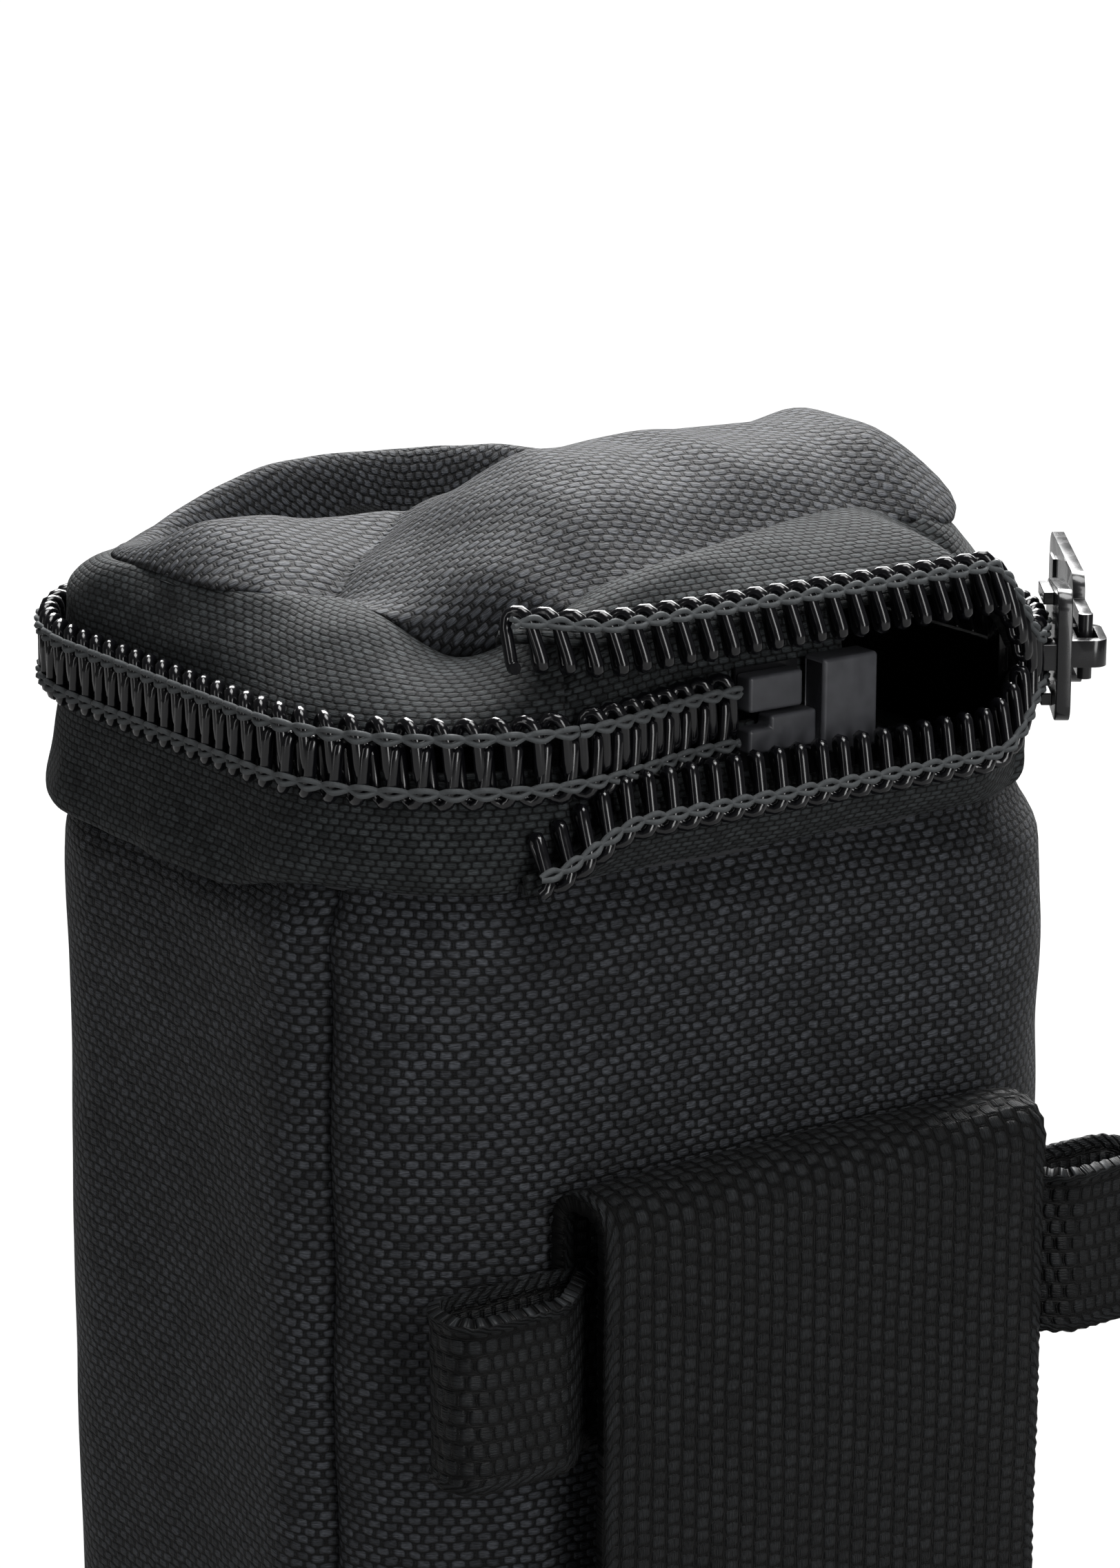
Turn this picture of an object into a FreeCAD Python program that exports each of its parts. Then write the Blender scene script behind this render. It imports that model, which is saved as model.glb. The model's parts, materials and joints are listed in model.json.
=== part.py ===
import FreeCAD, Part
import math
import os

# Small padded pouch for camera and darkroom gear, with a zipped lid, a belt loop and two strap loops.
# Frame: +Z up, belt face towards -Y, zip slider at the +X -Y corner, origin at the centre of the base.
# All sizes are in millimetres.

# Body: four padded walls on a rounded rectangle
body_half_x = 42.0
body_half_y = 36.5
body_radius = 20.0
wall_top = 110.0
seam_y = -24.6           # both upright seams lie where this plane cuts the front corners
seam_gap = 1.0           # folded seam allowance between two padded panels
fabric = 0.8
foam = 4.0
lining = 0.6
board = 1.2              # stiffener in the base
base_foam_thick = 3.0
binding = 0.8            # binding over the padded rim

# Zip: a closed ring whose two ends overlap on the belt face
tape_half_x = 40.0
tape_half_y = 35.0
tape_radius = 19.0
tape_thick = 0.6
coil_depth = 2.4         # how far the coil stands out from its tape
chain_z = 122.0          # height of the closed chain's middle
chain_half = 4.0         # half the width of the closed chain
strip = 2.45             # the backs of one half's loops, clear of the meshing zone
outer_lap = 1.2          # the open end lies this far outside the ring
inner_lap = 3.5          # the closed start lies this far inside it
lap_end_x = -27.0        # end of the open halves
start_x = 12.6           # end of the start tapes
start_run_x = -4.0       # from here on, the start runs parallel to the belt face
pin_x = -1.2             # end of the coil at the start, where the pins begin
open_rise = 8.0          # upper half lifted in the open stretch
open_drop = 4.4          # lower half lowered in the open stretch
lap_dive = 2.0           # further drop of the lower half at its end
slider_clear = 17.5      # degrees of the corner kept clear of the upper coil each side of the slider
start_gap = 0.35         # clearance along the fold between the start and the lid
film = 0.3               # reinforcing film on the start's two tape ends
film_length = 7.0
pin_length = 6.0
pin_depth = 2.2
pin_reach = 3.6          # a pin's outer edge from the chain's middle
pin_gap = 0.25           # from the chain's middle to each pin
notch_length = 2.4       # step cut into the retainer pin
notch_height = 1.3
box_depth = 3.2
box_half = 4.4
box_wall = 0.8
foot_overlap = 1.6       # the retainer pin's foot, which carries the box
tape_tuck = 137.0        # upper tape's edge, under the lid fabric
tape_tuck_open = 140.0

# Lid: a shallow padded cap, lower at the back
lid_half_x = tape_half_x - tape_thick / 2 - 0.1
lid_half_y = tape_half_y - tape_thick / 2 - 0.1
lid_radius = tape_radius - tape_thick / 2 - 0.1
lid_base = 134.3
lid_front_top = 147.0
lid_back_top = 141.0
lid_fabric = 1.0
lid_foam_thick = 3.0

# Slider, built along the corner's tangent: local X outwards, local Y towards the closed chain
slider_angle = -35.0     # seen from the corner's centre, from +X
slider_length = 11.0
mouth_half = 6.5
tail_half = 5.6
inner_plate = (-2.55, -1.6)
outer_plate = (3.0, 4.4)
flange_foot = 2.0
flange_inner = 4.3
post_half = 1.25
crown_top = 8.0
crown_half_width = 1.3
crown_half_length = 3.6
window_low = 5.2
window_high = 7.2
window_half = 2.3
pivot_x = 6.2            # pull's bar, outwards from the tape
pivot_bar = 0.7
pull_length = 28.0
pull_half_width = 5.5
pull_thick = 1.2

# Belt loop: a wide webbing standing off the belt face
webbing = 1.6
loop_half = 25.0
loop_low = 10.0
loop_top = 84.0
loop_standoff = 9.5      # outer face of the webbing from the belt face
loop_inner_low = 58.0    # end of the run behind
tack_height = 8.0
thread = 0.4             # depth of the sewn rows
tack_half = 0.8          # half the width of a bar tack

# Narrow webbing across the belt face, with a loop at each end
strap = 1.3
strap_low = 60.0
strap_high = 76.0
strap_tip_x = 41.5
strap_root_x = 26.0
strap_depth = 7.6

front = -body_half_y
nodes = {}


def box(x0, x1, y0, y1, z0, z1):
    return Part.makeBox(x1 - x0, y1 - y0, z1 - z0, FreeCAD.Vector(x0, y0, z0))


def rounded_face(half_x, half_y, radius, z):
    """Flat rounded rectangle at height z."""
    points = []
    for cx, cy, start in ((1, 1, 0), (-1, 1, 90), (-1, -1, 180), (1, -1, 270)):
        centre = (cx * (half_x - radius), cy * (half_y - radius))
        for step in (0, 45, 90):
            angle = math.radians(start + step)
            x = centre[0] + radius * math.cos(angle)
            y = centre[1] + radius * math.sin(angle)
            points.append(FreeCAD.Vector(x, y, z))
    edges = []
    for corner in range(4):
        a, b, c = points[3 * corner:3 * corner + 3]
        following = points[(3 * corner + 3) % 12]
        edges.append(Part.Arc(a, b, c).toShape())
        edges.append(Part.LineSegment(c, following).toShape())
    return Part.Face(Part.Wire(edges))


def prism(half_x, half_y, radius, z0, z1):
    return rounded_face(half_x, half_y, radius, z0).extrude(FreeCAD.Vector(0, 0, z1 - z0))


def body_prism(inset, z0, z1):
    return prism(body_half_x - inset, body_half_y - inset, body_radius - inset, z0, z1)


def lid_prism(inset, z0, z1):
    return prism(lid_half_x - inset, lid_half_y - inset, lid_radius - inset, z0, z1)


def wall_ring(inset, thick, z0, z1):
    return body_prism(inset, z0, z1).cut(body_prism(inset + thick, z0, z1))


def ahead_of(y):
    """Everything on the belt side of an upright plane."""
    return box(-90, 90, -90, y, -10, 200)


def behind(y):
    return box(-90, 90, y, 90, -10, 200)


def make_body():
    split_front = seam_y - seam_gap / 2
    split_back = seam_y + seam_gap / 2
    shell = wall_ring(0, fabric, 0, wall_top)
    nodes["belt_panel"] = shell.common(ahead_of(split_front))
    nodes["wrap_panel"] = shell.common(behind(split_back))
    pad = wall_ring(fabric, foam, fabric + board, wall_top)
    nodes["belt_foam"] = pad.common(ahead_of(split_front))
    nodes["wrap_foam"] = pad.common(behind(split_back))
    seam = wall_ring(fabric, foam, fabric + board, wall_top)
    seam = seam.common(box(-90, 90, split_front, split_back, 0, wall_top))
    nodes["seam_allowance_left"] = seam.common(box(-90, 0, -90, 90, 0, 200))
    nodes["seam_allowance_right"] = seam.common(box(0, 90, -90, 90, 0, 200))
    inside = fabric + foam
    floor_top = fabric + board + base_foam_thick
    nodes["body_lining"] = wall_ring(inside, lining, floor_top + lining, wall_top)
    nodes["base_panel"] = body_prism(fabric, 0, fabric)
    nodes["base_board"] = body_prism(fabric, fabric, fabric + board)
    nodes["base_foam"] = body_prism(inside, fabric + board, floor_top)
    nodes["base_lining"] = body_prism(inside, floor_top, floor_top + lining)
    nodes["rim_binding"] = wall_ring(0, inside + lining, wall_top, wall_top + binding)


def blend(value):
    """Smooth step from 0 to 1."""
    t = min(1.0, max(0.0, value))
    return t * t * (3 - 2 * t)


def corner_stations(sign_x, sign_y, first, last, lap=0.0, steps=10):
    """Points and outward normals round one corner of the tape ring, between two angles."""
    found = []
    cx = sign_x * (tape_half_x - tape_radius)
    cy = sign_y * (tape_half_y - tape_radius)
    for step in range(steps + 1):
        angle = math.radians(first + (last - first) * step / steps)
        nx = math.cos(angle)
        ny = math.sin(angle)
        found.append((cx + (tape_radius + lap) * nx, cy + (tape_radius + lap) * ny, nx, ny))
    return found


def back_stations():
    """The closed chain clear of the slider's travel, round the back to the near left corner."""
    return corner_stations(1, 1, 0, 90) + corner_stations(-1, 1, 90, 180) + corner_stations(-1, -1, 180, 270)


def ring_stations(first):
    """The whole closed chain, from an angle on the slider's corner."""
    return corner_stations(1, -1, first, 0) + back_stations()


def start_stations(first_x, end_x):
    """The closed start, running inwards behind the open stretch."""
    corner_x = -(tape_half_x - tape_radius)
    run = []
    for x in (first_x, -17.0, -12.0, -8.0, start_run_x, end_x):
        lap = inner_lap * blend((x - corner_x) / (start_run_x - corner_x))
        run.append((x, -tape_half_y + lap, 0.0, -1.0))
    return run


def open_stations(last):
    """The open stretch, from its end on the belt face to an angle on the slider's corner."""
    y = -tape_half_y - outer_lap
    run = [(x, y, 0.0, -1.0) for x in (lap_end_x, -23.0, -18.0, -12.0, -4.0, 4.0, 12.0)]
    run += corner_stations(1, -1, -90, -70, outer_lap, 2)
    for step in (1, 2, 3, 4):
        angle = -70 + (last + 70) * step / 4
        lap = outer_lap * (1 - step / 4)
        run += corner_stations(1, -1, angle, angle, lap, 1)[:1]
    return run


def openness(station):
    """1 where the halves stand fully apart, 0 at the slider."""
    x, y, nx, ny = station
    along = math.degrees(math.atan2(ny, nx))
    return blend((-52.0 - along) / 30.0)


def dive(station):
    return blend((-16.0 - station[0]) / (-16.0 - lap_end_x))


def ribbon(sections):
    """Solid through rectangles that stand across the path: (station, r0, r1, z0, z1)."""
    wires = []
    for (x, y, nx, ny), r0, r1, z0, z1 in sections:
        inner = (x + r0 * nx, y + r0 * ny)
        outer = (x + r1 * nx, y + r1 * ny)
        corners = [FreeCAD.Vector(*inner, z0), FreeCAD.Vector(*outer, z0)]
        corners += [FreeCAD.Vector(*outer, z1), FreeCAD.Vector(*inner, z1)]
        wires.append(Part.makePolygon(corners + corners[:1]))
    return Part.makeLoft(wires, True, True)


def make_zip():
    """Tapes and coil halves. Each half of the coil is a strip along the backs of its loops."""
    half_tape = tape_thick / 2
    tape = (-half_tape, half_tape)
    coil = (half_tape, half_tape + coil_depth)
    low = chain_z - chain_half
    high = chain_z + chain_half
    foot = wall_top + binding
    mouth_angle = slider_angle - slider_clear
    corner_x = -(tape_half_x - tape_radius)

    lower_tape = []
    upper_tape = []
    lower_coil = []
    open_end = []
    for station in open_stations(mouth_angle):
        part_open = openness(station)
        drop = open_drop * part_open + lap_dive * dive(station)
        lower_top = low + strip - drop
        upper_bottom = high - strip + open_rise * part_open
        tuck = tape_tuck + (tape_tuck_open - tape_tuck) * part_open
        lower_tape.append((station, *tape, foot, lower_top))
        upper_tape.append((station, *tape, upper_bottom, tuck))
        lower_coil.append((station, *coil, lower_top - strip, lower_top))
        open_end.append((station, *coil, upper_bottom, upper_bottom + strip))
    for station in ring_stations(mouth_angle + 5):
        lower_tape.append((station, *tape, foot, low + strip))
        upper_tape.append((station, *tape, high - strip, tape_tuck))
        lower_coil.append((station, *coil, low, low + strip))
    for station in start_stations(corner_x + start_gap, start_x):
        lower_tape.append((station, *tape, foot, low + strip))
    for station in start_stations(corner_x + start_gap, pin_x):
        lower_coil.append((station, *coil, low, low + strip))
    for station in start_stations(corner_x + start_gap, pin_x + film_length):
        upper_tape.append((station, *tape, high + start_gap, lid_base - binding))

    closed_run = [(s, *coil, high - strip, high) for s in back_stations()]
    start_tape = [(s, *tape, high - strip, high)
                  for s in start_stations(corner_x + 2 * start_gap, pin_x + film_length)]
    start_coil = [(s, *coil, high - strip, high)
                  for s in start_stations(corner_x + 2 * start_gap, pin_x)]

    nodes["lower_zip_tape"] = ribbon(lower_tape)
    nodes["upper_zip_tape"] = ribbon(upper_tape)
    nodes["lower_coil"] = ribbon(lower_coil)
    nodes["upper_coil_open_end"] = ribbon(open_end)
    nodes["upper_coil_closed_run"] = ribbon(closed_run)
    nodes["start_tape_upper"] = ribbon(start_tape)
    nodes["upper_coil_start"] = ribbon(start_coil)


def make_start_fittings():
    """Reinforced tape ends, the two pins and the retainer box, inside the open stretch."""
    face = -tape_half_y + inner_lap - tape_thick / 2
    low = chain_z - chain_half
    high = chain_z + chain_half
    nodes["tape_end_film_lower"] = box(pin_x, start_x, face - film, face, low - 3, low + strip)
    nodes["tape_end_film_upper"] = box(pin_x, pin_x + film_length, face - film, face, high - strip, high)
    outer = face - film
    pin_end = pin_x + pin_length
    box_left = pin_end + foot_overlap
    retainer = box(pin_x, box_left, outer - pin_depth, outer, chain_z - pin_reach, chain_z - pin_gap)
    notch = box(pin_x - 1, pin_x + notch_length, outer - box_depth, outer, chain_z - notch_height, chain_z)
    nodes["retainer_pin"] = retainer.cut(notch)
    nodes["insertion_pin"] = box(pin_x, pin_end, outer - pin_depth, outer, chain_z + pin_gap, chain_z + pin_reach)
    body = box(box_left, start_x, outer - box_depth, outer, chain_z - box_half, chain_z + box_half)
    pocket = box(box_left - 1, start_x - 1.5 * box_wall, outer - box_depth + box_wall, outer - box_wall,
                 chain_z - pin_reach, chain_z + pin_reach)
    nodes["retainer_box"] = body.cut(pocket)


def lid_cap(inset, drop):
    """Closed block under the lid's sloping top."""
    y0 = -lid_half_y - 1
    y1 = lid_half_y + 1
    slope = (lid_back_top - lid_front_top) / (2 * lid_half_y)
    z0 = lid_front_top - slope - drop
    z1 = lid_back_top + slope - drop
    profile = [FreeCAD.Vector(-60, y0, lid_base), FreeCAD.Vector(-60, y1, lid_base)]
    profile += [FreeCAD.Vector(-60, y1, z1), FreeCAD.Vector(-60, y0, z0)]
    wedge = Part.Face(Part.makePolygon(profile + profile[:1])).extrude(FreeCAD.Vector(120, 0, 0))
    return lid_prism(inset, lid_base, lid_front_top + 5).common(wedge)


def make_lid():
    layers = (("lid_top_panel", lid_fabric), ("lid_foam", lid_foam_thick), ("lid_lining", lining))
    depth = 0.0
    for name, thick in layers:
        nodes[name] = lid_cap(depth, depth).cut(lid_cap(depth + thick, depth + thick))
        depth += thick
    ring = lid_prism(0, lid_base - binding, lid_base)
    nodes["lid_seam_binding"] = ring.cut(lid_prism(depth, lid_base - binding, lid_base))


def place_on_corner(shape):
    """Turn a slider part about the corner's centre and lift it to the chain."""
    shape.translate(FreeCAD.Vector(tape_radius, 0, chain_z))
    shape.rotate(FreeCAD.Vector(0, 0, 0), FreeCAD.Vector(0, 0, 1), slider_angle)
    shape.translate(FreeCAD.Vector(tape_half_x - tape_radius, -(tape_half_y - tape_radius), 0))
    return shape


def slider_plate(x0, x1):
    """Plate that narrows from the mouth to the tail, with its corners rounded."""
    mouth = -slider_length / 2
    tail = slider_length / 2
    outline = [(mouth, -mouth_half), (tail, -tail_half), (tail, tail_half), (mouth, mouth_half)]
    points = [FreeCAD.Vector(x0, y, z) for y, z in outline]
    plate = Part.Face(Part.makePolygon(points + points[:1])).extrude(FreeCAD.Vector(x1 - x0, 0, 0))
    upright = [e for e in plate.Edges if abs(e.Vertexes[0].X - e.Vertexes[1].X) > 0.5]
    return plate.makeFillet(1.8, upright)


def make_slider():
    mouth = -slider_length / 2
    tail = slider_length / 2
    casting = slider_plate(*outer_plate).fuse(slider_plate(*inner_plate))
    post = box(inner_plate[1], outer_plate[0], mouth + 0.4, mouth + 3.4, -post_half, post_half)
    casting = casting.fuse(post)
    rails = box(flange_foot, outer_plate[0], -1.5, tail - 1.8, flange_inner, flange_inner + 1.2)
    casting = casting.fuse(rails)
    casting = casting.fuse(rails.mirror(FreeCAD.Vector(0, 0, 0), FreeCAD.Vector(0, 0, 1)))
    nodes["slider_body"] = place_on_corner(casting.removeSplitter())

    crown = box(outer_plate[1], crown_top, -crown_half_length, crown_half_length,
                -crown_half_width, crown_half_width)
    crown = crown.makeFillet(1.4, [e for e in crown.Edges
                                   if min(v.X for v in e.Vertexes) > crown_top - 0.01
                                   and abs(e.Vertexes[0].Z - e.Vertexes[1].Z) > 1])
    crown = crown.cut(box(window_low, window_high, -window_half, window_half, -5, 5))
    nodes["slider_crown"] = place_on_corner(crown)
    spring = box(outer_plate[1], outer_plate[1] + 0.4, crown_half_length, tail, -1.0, 1.0)
    nodes["slider_lock_spring"] = place_on_corner(spring)


def make_pull():
    """Cross bar through the crown, two arms and a flat tab that lies back along the chain."""
    arm_in = crown_half_width + 0.35
    arm_out = arm_in + 1.5
    bar = Part.makeCylinder(pivot_bar, 2 * arm_out, FreeCAD.Vector(pivot_x, 0, -arm_out))
    low = pivot_x - pull_thick / 2
    high = pivot_x + pull_thick / 2
    arm = box(low, high, 0, 7.0, arm_in, arm_out)
    pull = bar.fuse(arm).fuse(arm.mirror(FreeCAD.Vector(0, 0, 0), FreeCAD.Vector(0, 0, 1)))
    tab = box(low, high, 6.2, pull_length, -pull_half_width, pull_half_width)
    edges = [e for e in tab.Edges if abs(e.Vertexes[0].X - e.Vertexes[1].X) > 0.5]
    pull = pull.fuse(tab.makeFillet(2.0, edges))
    grip = box(low - 0.3, high + 0.3, pull_length - 6.0, pull_length - 2.5, -3.6, 3.6)
    nodes["pull_tab"] = place_on_corner(pull.fuse(grip).removeSplitter())


def side_profile(points):
    """Face in the YZ plane at x = 0 from a closed list of (y, z)."""
    corners = [FreeCAD.Vector(0, y, z) for y, z in points]
    return Part.Face(Part.makePolygon(corners + corners[:1]))


def make_belt_loop():
    """Wide webbing: sewn at its foot, standing off the face, folded over at the top and sewn behind."""
    outer_y = front - loop_standoff
    tacked_y = front - webbing
    rise = loop_low + tack_height
    lift = rise + loop_standoff
    fold = loop_top - loop_standoff / 2
    outline = [(front, loop_low), (front, rise), (outer_y + webbing, lift), (outer_y + webbing, fold)]
    turn = (loop_standoff - 2 * webbing) / 2
    centre_y = outer_y + loop_standoff / 2
    inner_arc = []
    outer_arc = []
    for step in range(7):
        angle = math.radians(180 - 180 * step / 6)
        inner_arc.append((centre_y + turn * math.cos(angle), fold + turn * math.sin(angle)))
        reach = turn + webbing
        outer_arc.append((centre_y + reach * math.cos(angle), fold + reach * math.sin(angle)))
    outline += inner_arc[1:] + [(tacked_y, loop_inner_low), (front, loop_inner_low)]
    outline += outer_arc[::-1] + [(outer_y, lift), (tacked_y, rise), (tacked_y, loop_low)]
    loop = side_profile(outline).extrude(FreeCAD.Vector(2 * loop_half, 0, 0))
    loop.translate(FreeCAD.Vector(-loop_half, 0, 0))
    nodes["belt_loop_webbing"] = loop
    row = box(-loop_half + 2, loop_half - 2, tacked_y - thread, tacked_y, loop_low + 1.5, loop_low + 2.5)
    rows = [row]
    upper_row = row.copy()
    upper_row.translate(FreeCAD.Vector(0, 0, tack_height - 4))
    rows.append(upper_row)
    nodes["belt_loop_stitching"] = Part.makeCompound(rows)


def stadium(x0, x1, y0, y1, z0, z1):
    radius = (y1 - y0) / 2
    middle = (y0 + y1) / 2
    height = FreeCAD.Vector(0, 0, z1 - z0)
    bar = box(x0 + radius, x1 - radius, y0, y1, z0, z1)
    for x in (x0 + radius, x1 - radius):
        bar = bar.fuse(Part.makeCylinder(radius, height.z, FreeCAD.Vector(x, middle, z0)))
    return bar.removeSplitter()


def make_strap():
    """Narrow webbing sewn across the face behind the belt loop, with a loop at each end."""
    back = front - webbing
    outer = back - strap_depth
    strap_solid = box(-strap_root_x - 3, strap_root_x + 3, back - strap, back, strap_low, strap_high)
    tacks = []
    for side in (-1, 1):
        x0, x1 = sorted((side * strap_root_x, side * strap_tip_x))
        tube = stadium(x0, x1, outer, back, strap_low, strap_high)
        hollow = stadium(x0 + strap, x1 - strap, outer + strap, back - strap, strap_low, strap_high)
        strap_solid = strap_solid.cut(tube).fuse(tube.cut(hollow))
        tack_x = side * (loop_half - 3.5)
        tack = box(tack_x - tack_half, tack_x + tack_half, back - strap - thread, back - strap,
                   strap_low + 1.5, strap_high - 1.5)
        tacks.append(tack)
    nodes["strap_webbing"] = strap_solid.removeSplitter()
    nodes["strap_bar_tacks"] = Part.makeCompound(tacks)


make_body()
make_zip()
make_start_fittings()
make_lid()
make_slider()
make_pull()
make_belt_loop()
make_strap()

os.makedirs("parts", exist_ok=True)
for name, shape in nodes.items():
    shape.exportStep("parts/" + name + ".step")
    print(name, len(shape.Solids), round(shape.Volume, 1), shape.isValid())
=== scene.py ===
import bisect
import bmesh
import bpy
import json
import math
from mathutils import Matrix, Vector, noise

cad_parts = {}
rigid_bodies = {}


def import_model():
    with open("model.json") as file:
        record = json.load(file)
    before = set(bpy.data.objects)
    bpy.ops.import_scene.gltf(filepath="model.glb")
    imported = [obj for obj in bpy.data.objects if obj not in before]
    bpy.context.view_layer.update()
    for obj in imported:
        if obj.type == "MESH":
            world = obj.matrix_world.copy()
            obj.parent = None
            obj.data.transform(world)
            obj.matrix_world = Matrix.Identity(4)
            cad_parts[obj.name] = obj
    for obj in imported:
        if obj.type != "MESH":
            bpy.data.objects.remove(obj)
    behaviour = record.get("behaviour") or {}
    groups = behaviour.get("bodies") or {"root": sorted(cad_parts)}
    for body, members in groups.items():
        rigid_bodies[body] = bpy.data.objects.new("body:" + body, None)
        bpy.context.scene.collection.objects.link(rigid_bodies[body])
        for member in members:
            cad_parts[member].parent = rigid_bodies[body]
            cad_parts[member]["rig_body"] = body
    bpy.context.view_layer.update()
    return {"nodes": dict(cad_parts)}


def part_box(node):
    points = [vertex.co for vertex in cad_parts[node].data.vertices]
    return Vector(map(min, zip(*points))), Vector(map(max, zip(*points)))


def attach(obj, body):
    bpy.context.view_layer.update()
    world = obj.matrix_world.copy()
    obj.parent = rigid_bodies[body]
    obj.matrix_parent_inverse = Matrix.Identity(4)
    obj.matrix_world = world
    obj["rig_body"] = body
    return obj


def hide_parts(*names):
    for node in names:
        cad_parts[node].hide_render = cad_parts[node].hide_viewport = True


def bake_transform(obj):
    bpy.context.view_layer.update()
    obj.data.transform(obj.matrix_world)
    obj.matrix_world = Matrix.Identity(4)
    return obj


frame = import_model()
mm = 0.001

# sizes taken from the frame, in metres
wallLow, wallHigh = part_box("wrap_panel")
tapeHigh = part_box("upper_zip_tape")[1]
bodyHalfX = wallHigh[0]
bodyHalfY = wallHigh[1]
wallTop = wallHigh[2]
seamY = wallLow[1]
chainZ = (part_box("lower_coil")[1][2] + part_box("upper_coil_start")[0][2]) / 2


def smooth(t):
    t = min(1.0, max(0.0, t))
    return t * t * (3 - 2 * t)


def mix(a, b, t):
    return a + (b - a) * t


def bump(t, width):
    return math.exp(-(t / width) ** 2)


def wrinkle(point, scale, seed=0.0):
    return noise.noise(Vector(point) / scale + Vector((seed, seed * 1.7, -seed)))


def meshObject(name, points, faces, uvs=None):
    mesh = bpy.data.meshes.new(name)
    mesh.from_pydata([tuple(p) for p in points], [], faces)
    if uvs:
        layer = mesh.uv_layers.new(name="cloth")
        for loop in mesh.loops:
            layer.data[loop.index].uv = uvs[loop.index]
    mesh.polygons.foreach_set("use_smooth", [True] * len(mesh.polygons))
    mesh.update()
    piece = bpy.data.objects.new(name, mesh)
    bpy.context.scene.collection.objects.link(piece)
    return piece


def sheetObject(name, rows, closed=False, uvTurn=False, flip=False):
    count = len(rows[0])
    points = [p for row in rows for p in row]
    along = [0.0]
    middle = rows[len(rows) // 2]
    for i in range(1, count + (1 if closed else 0)):
        along.append(along[-1] + (Vector(middle[i % count]) - Vector(middle[i - 1])).length)
    across = [[0.0] * count]
    for j in range(1, len(rows)):
        across.append([across[-1][i] + (Vector(rows[j][i]) - Vector(rows[j - 1][i])).length
                       for i in range(count)])
    faces = []
    uvs = []
    for j in range(len(rows) - 1):
        for i in range(count if closed else count - 1):
            k = (i + 1) % count
            corners = [(j, i, i), (j, k, i + 1), (j + 1, k, i + 1), (j + 1, i, i)]
            if flip:
                corners.reverse()
            faces.append([row * count + column for row, column, _ in corners])
            for row, column, step in corners:
                uv = (along[step] / mm, across[row][column] / mm)
                uvs.append(uv[::-1] if uvTurn else uv)
    return meshObject(name, points, faces, uvs)


def applied(piece):
    graph = bpy.context.evaluated_depsgraph_get()
    mesh = bpy.data.meshes.new_from_object(piece.evaluated_get(graph), depsgraph=graph)
    piece.modifiers.clear()
    piece.data = mesh
    return piece


def thicken(piece, thick, offset=-1.0):
    solid = piece.modifiers.new("thickness", "SOLIDIFY")
    solid.thickness = thick
    solid.offset = offset
    return applied(piece)


def finish(piece, material, body, replaced=()):
    piece.data.materials.clear()
    piece.data.materials.append(material)
    if isinstance(body, str):
        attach(piece, body)
    else:
        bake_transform(piece)
    if replaced:
        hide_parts(*replaced)
    return piece


def nodeMaker(tree):
    def make(kind, values=None, **settings):
        node = tree.nodes.new(kind)
        for key, value in settings.items():
            setattr(node, key, value)
        for key, value in (values or {}).items():
            if isinstance(value, bpy.types.NodeSocket):
                tree.links.new(value, node.inputs[key])
            else:
                node.inputs[key].default_value = value
        return node
    return make


def sumMaker(tree, kind="ShaderNodeMath"):
    def calc(operation, *terms):
        node = tree.nodes.new(kind)
        node.operation = operation
        for socket, term in zip(node.inputs, terms):
            if isinstance(term, bpy.types.NodeSocket):
                tree.links.new(term, socket)
            else:
                socket.default_value = term
        return node.outputs[0]
    return calc


def newMaterial(name, color, roughness, **sockets):
    material = bpy.data.materials.new(name)
    material.use_nodes = True
    shader = material.node_tree.nodes["Principled BSDF"]
    shader.inputs["Base Color"].default_value = (*color, 1)
    shader.inputs["Roughness"].default_value = roughness
    for key, value in sockets.items():
        shader.inputs[key].default_value = value
    return material, shader


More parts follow.
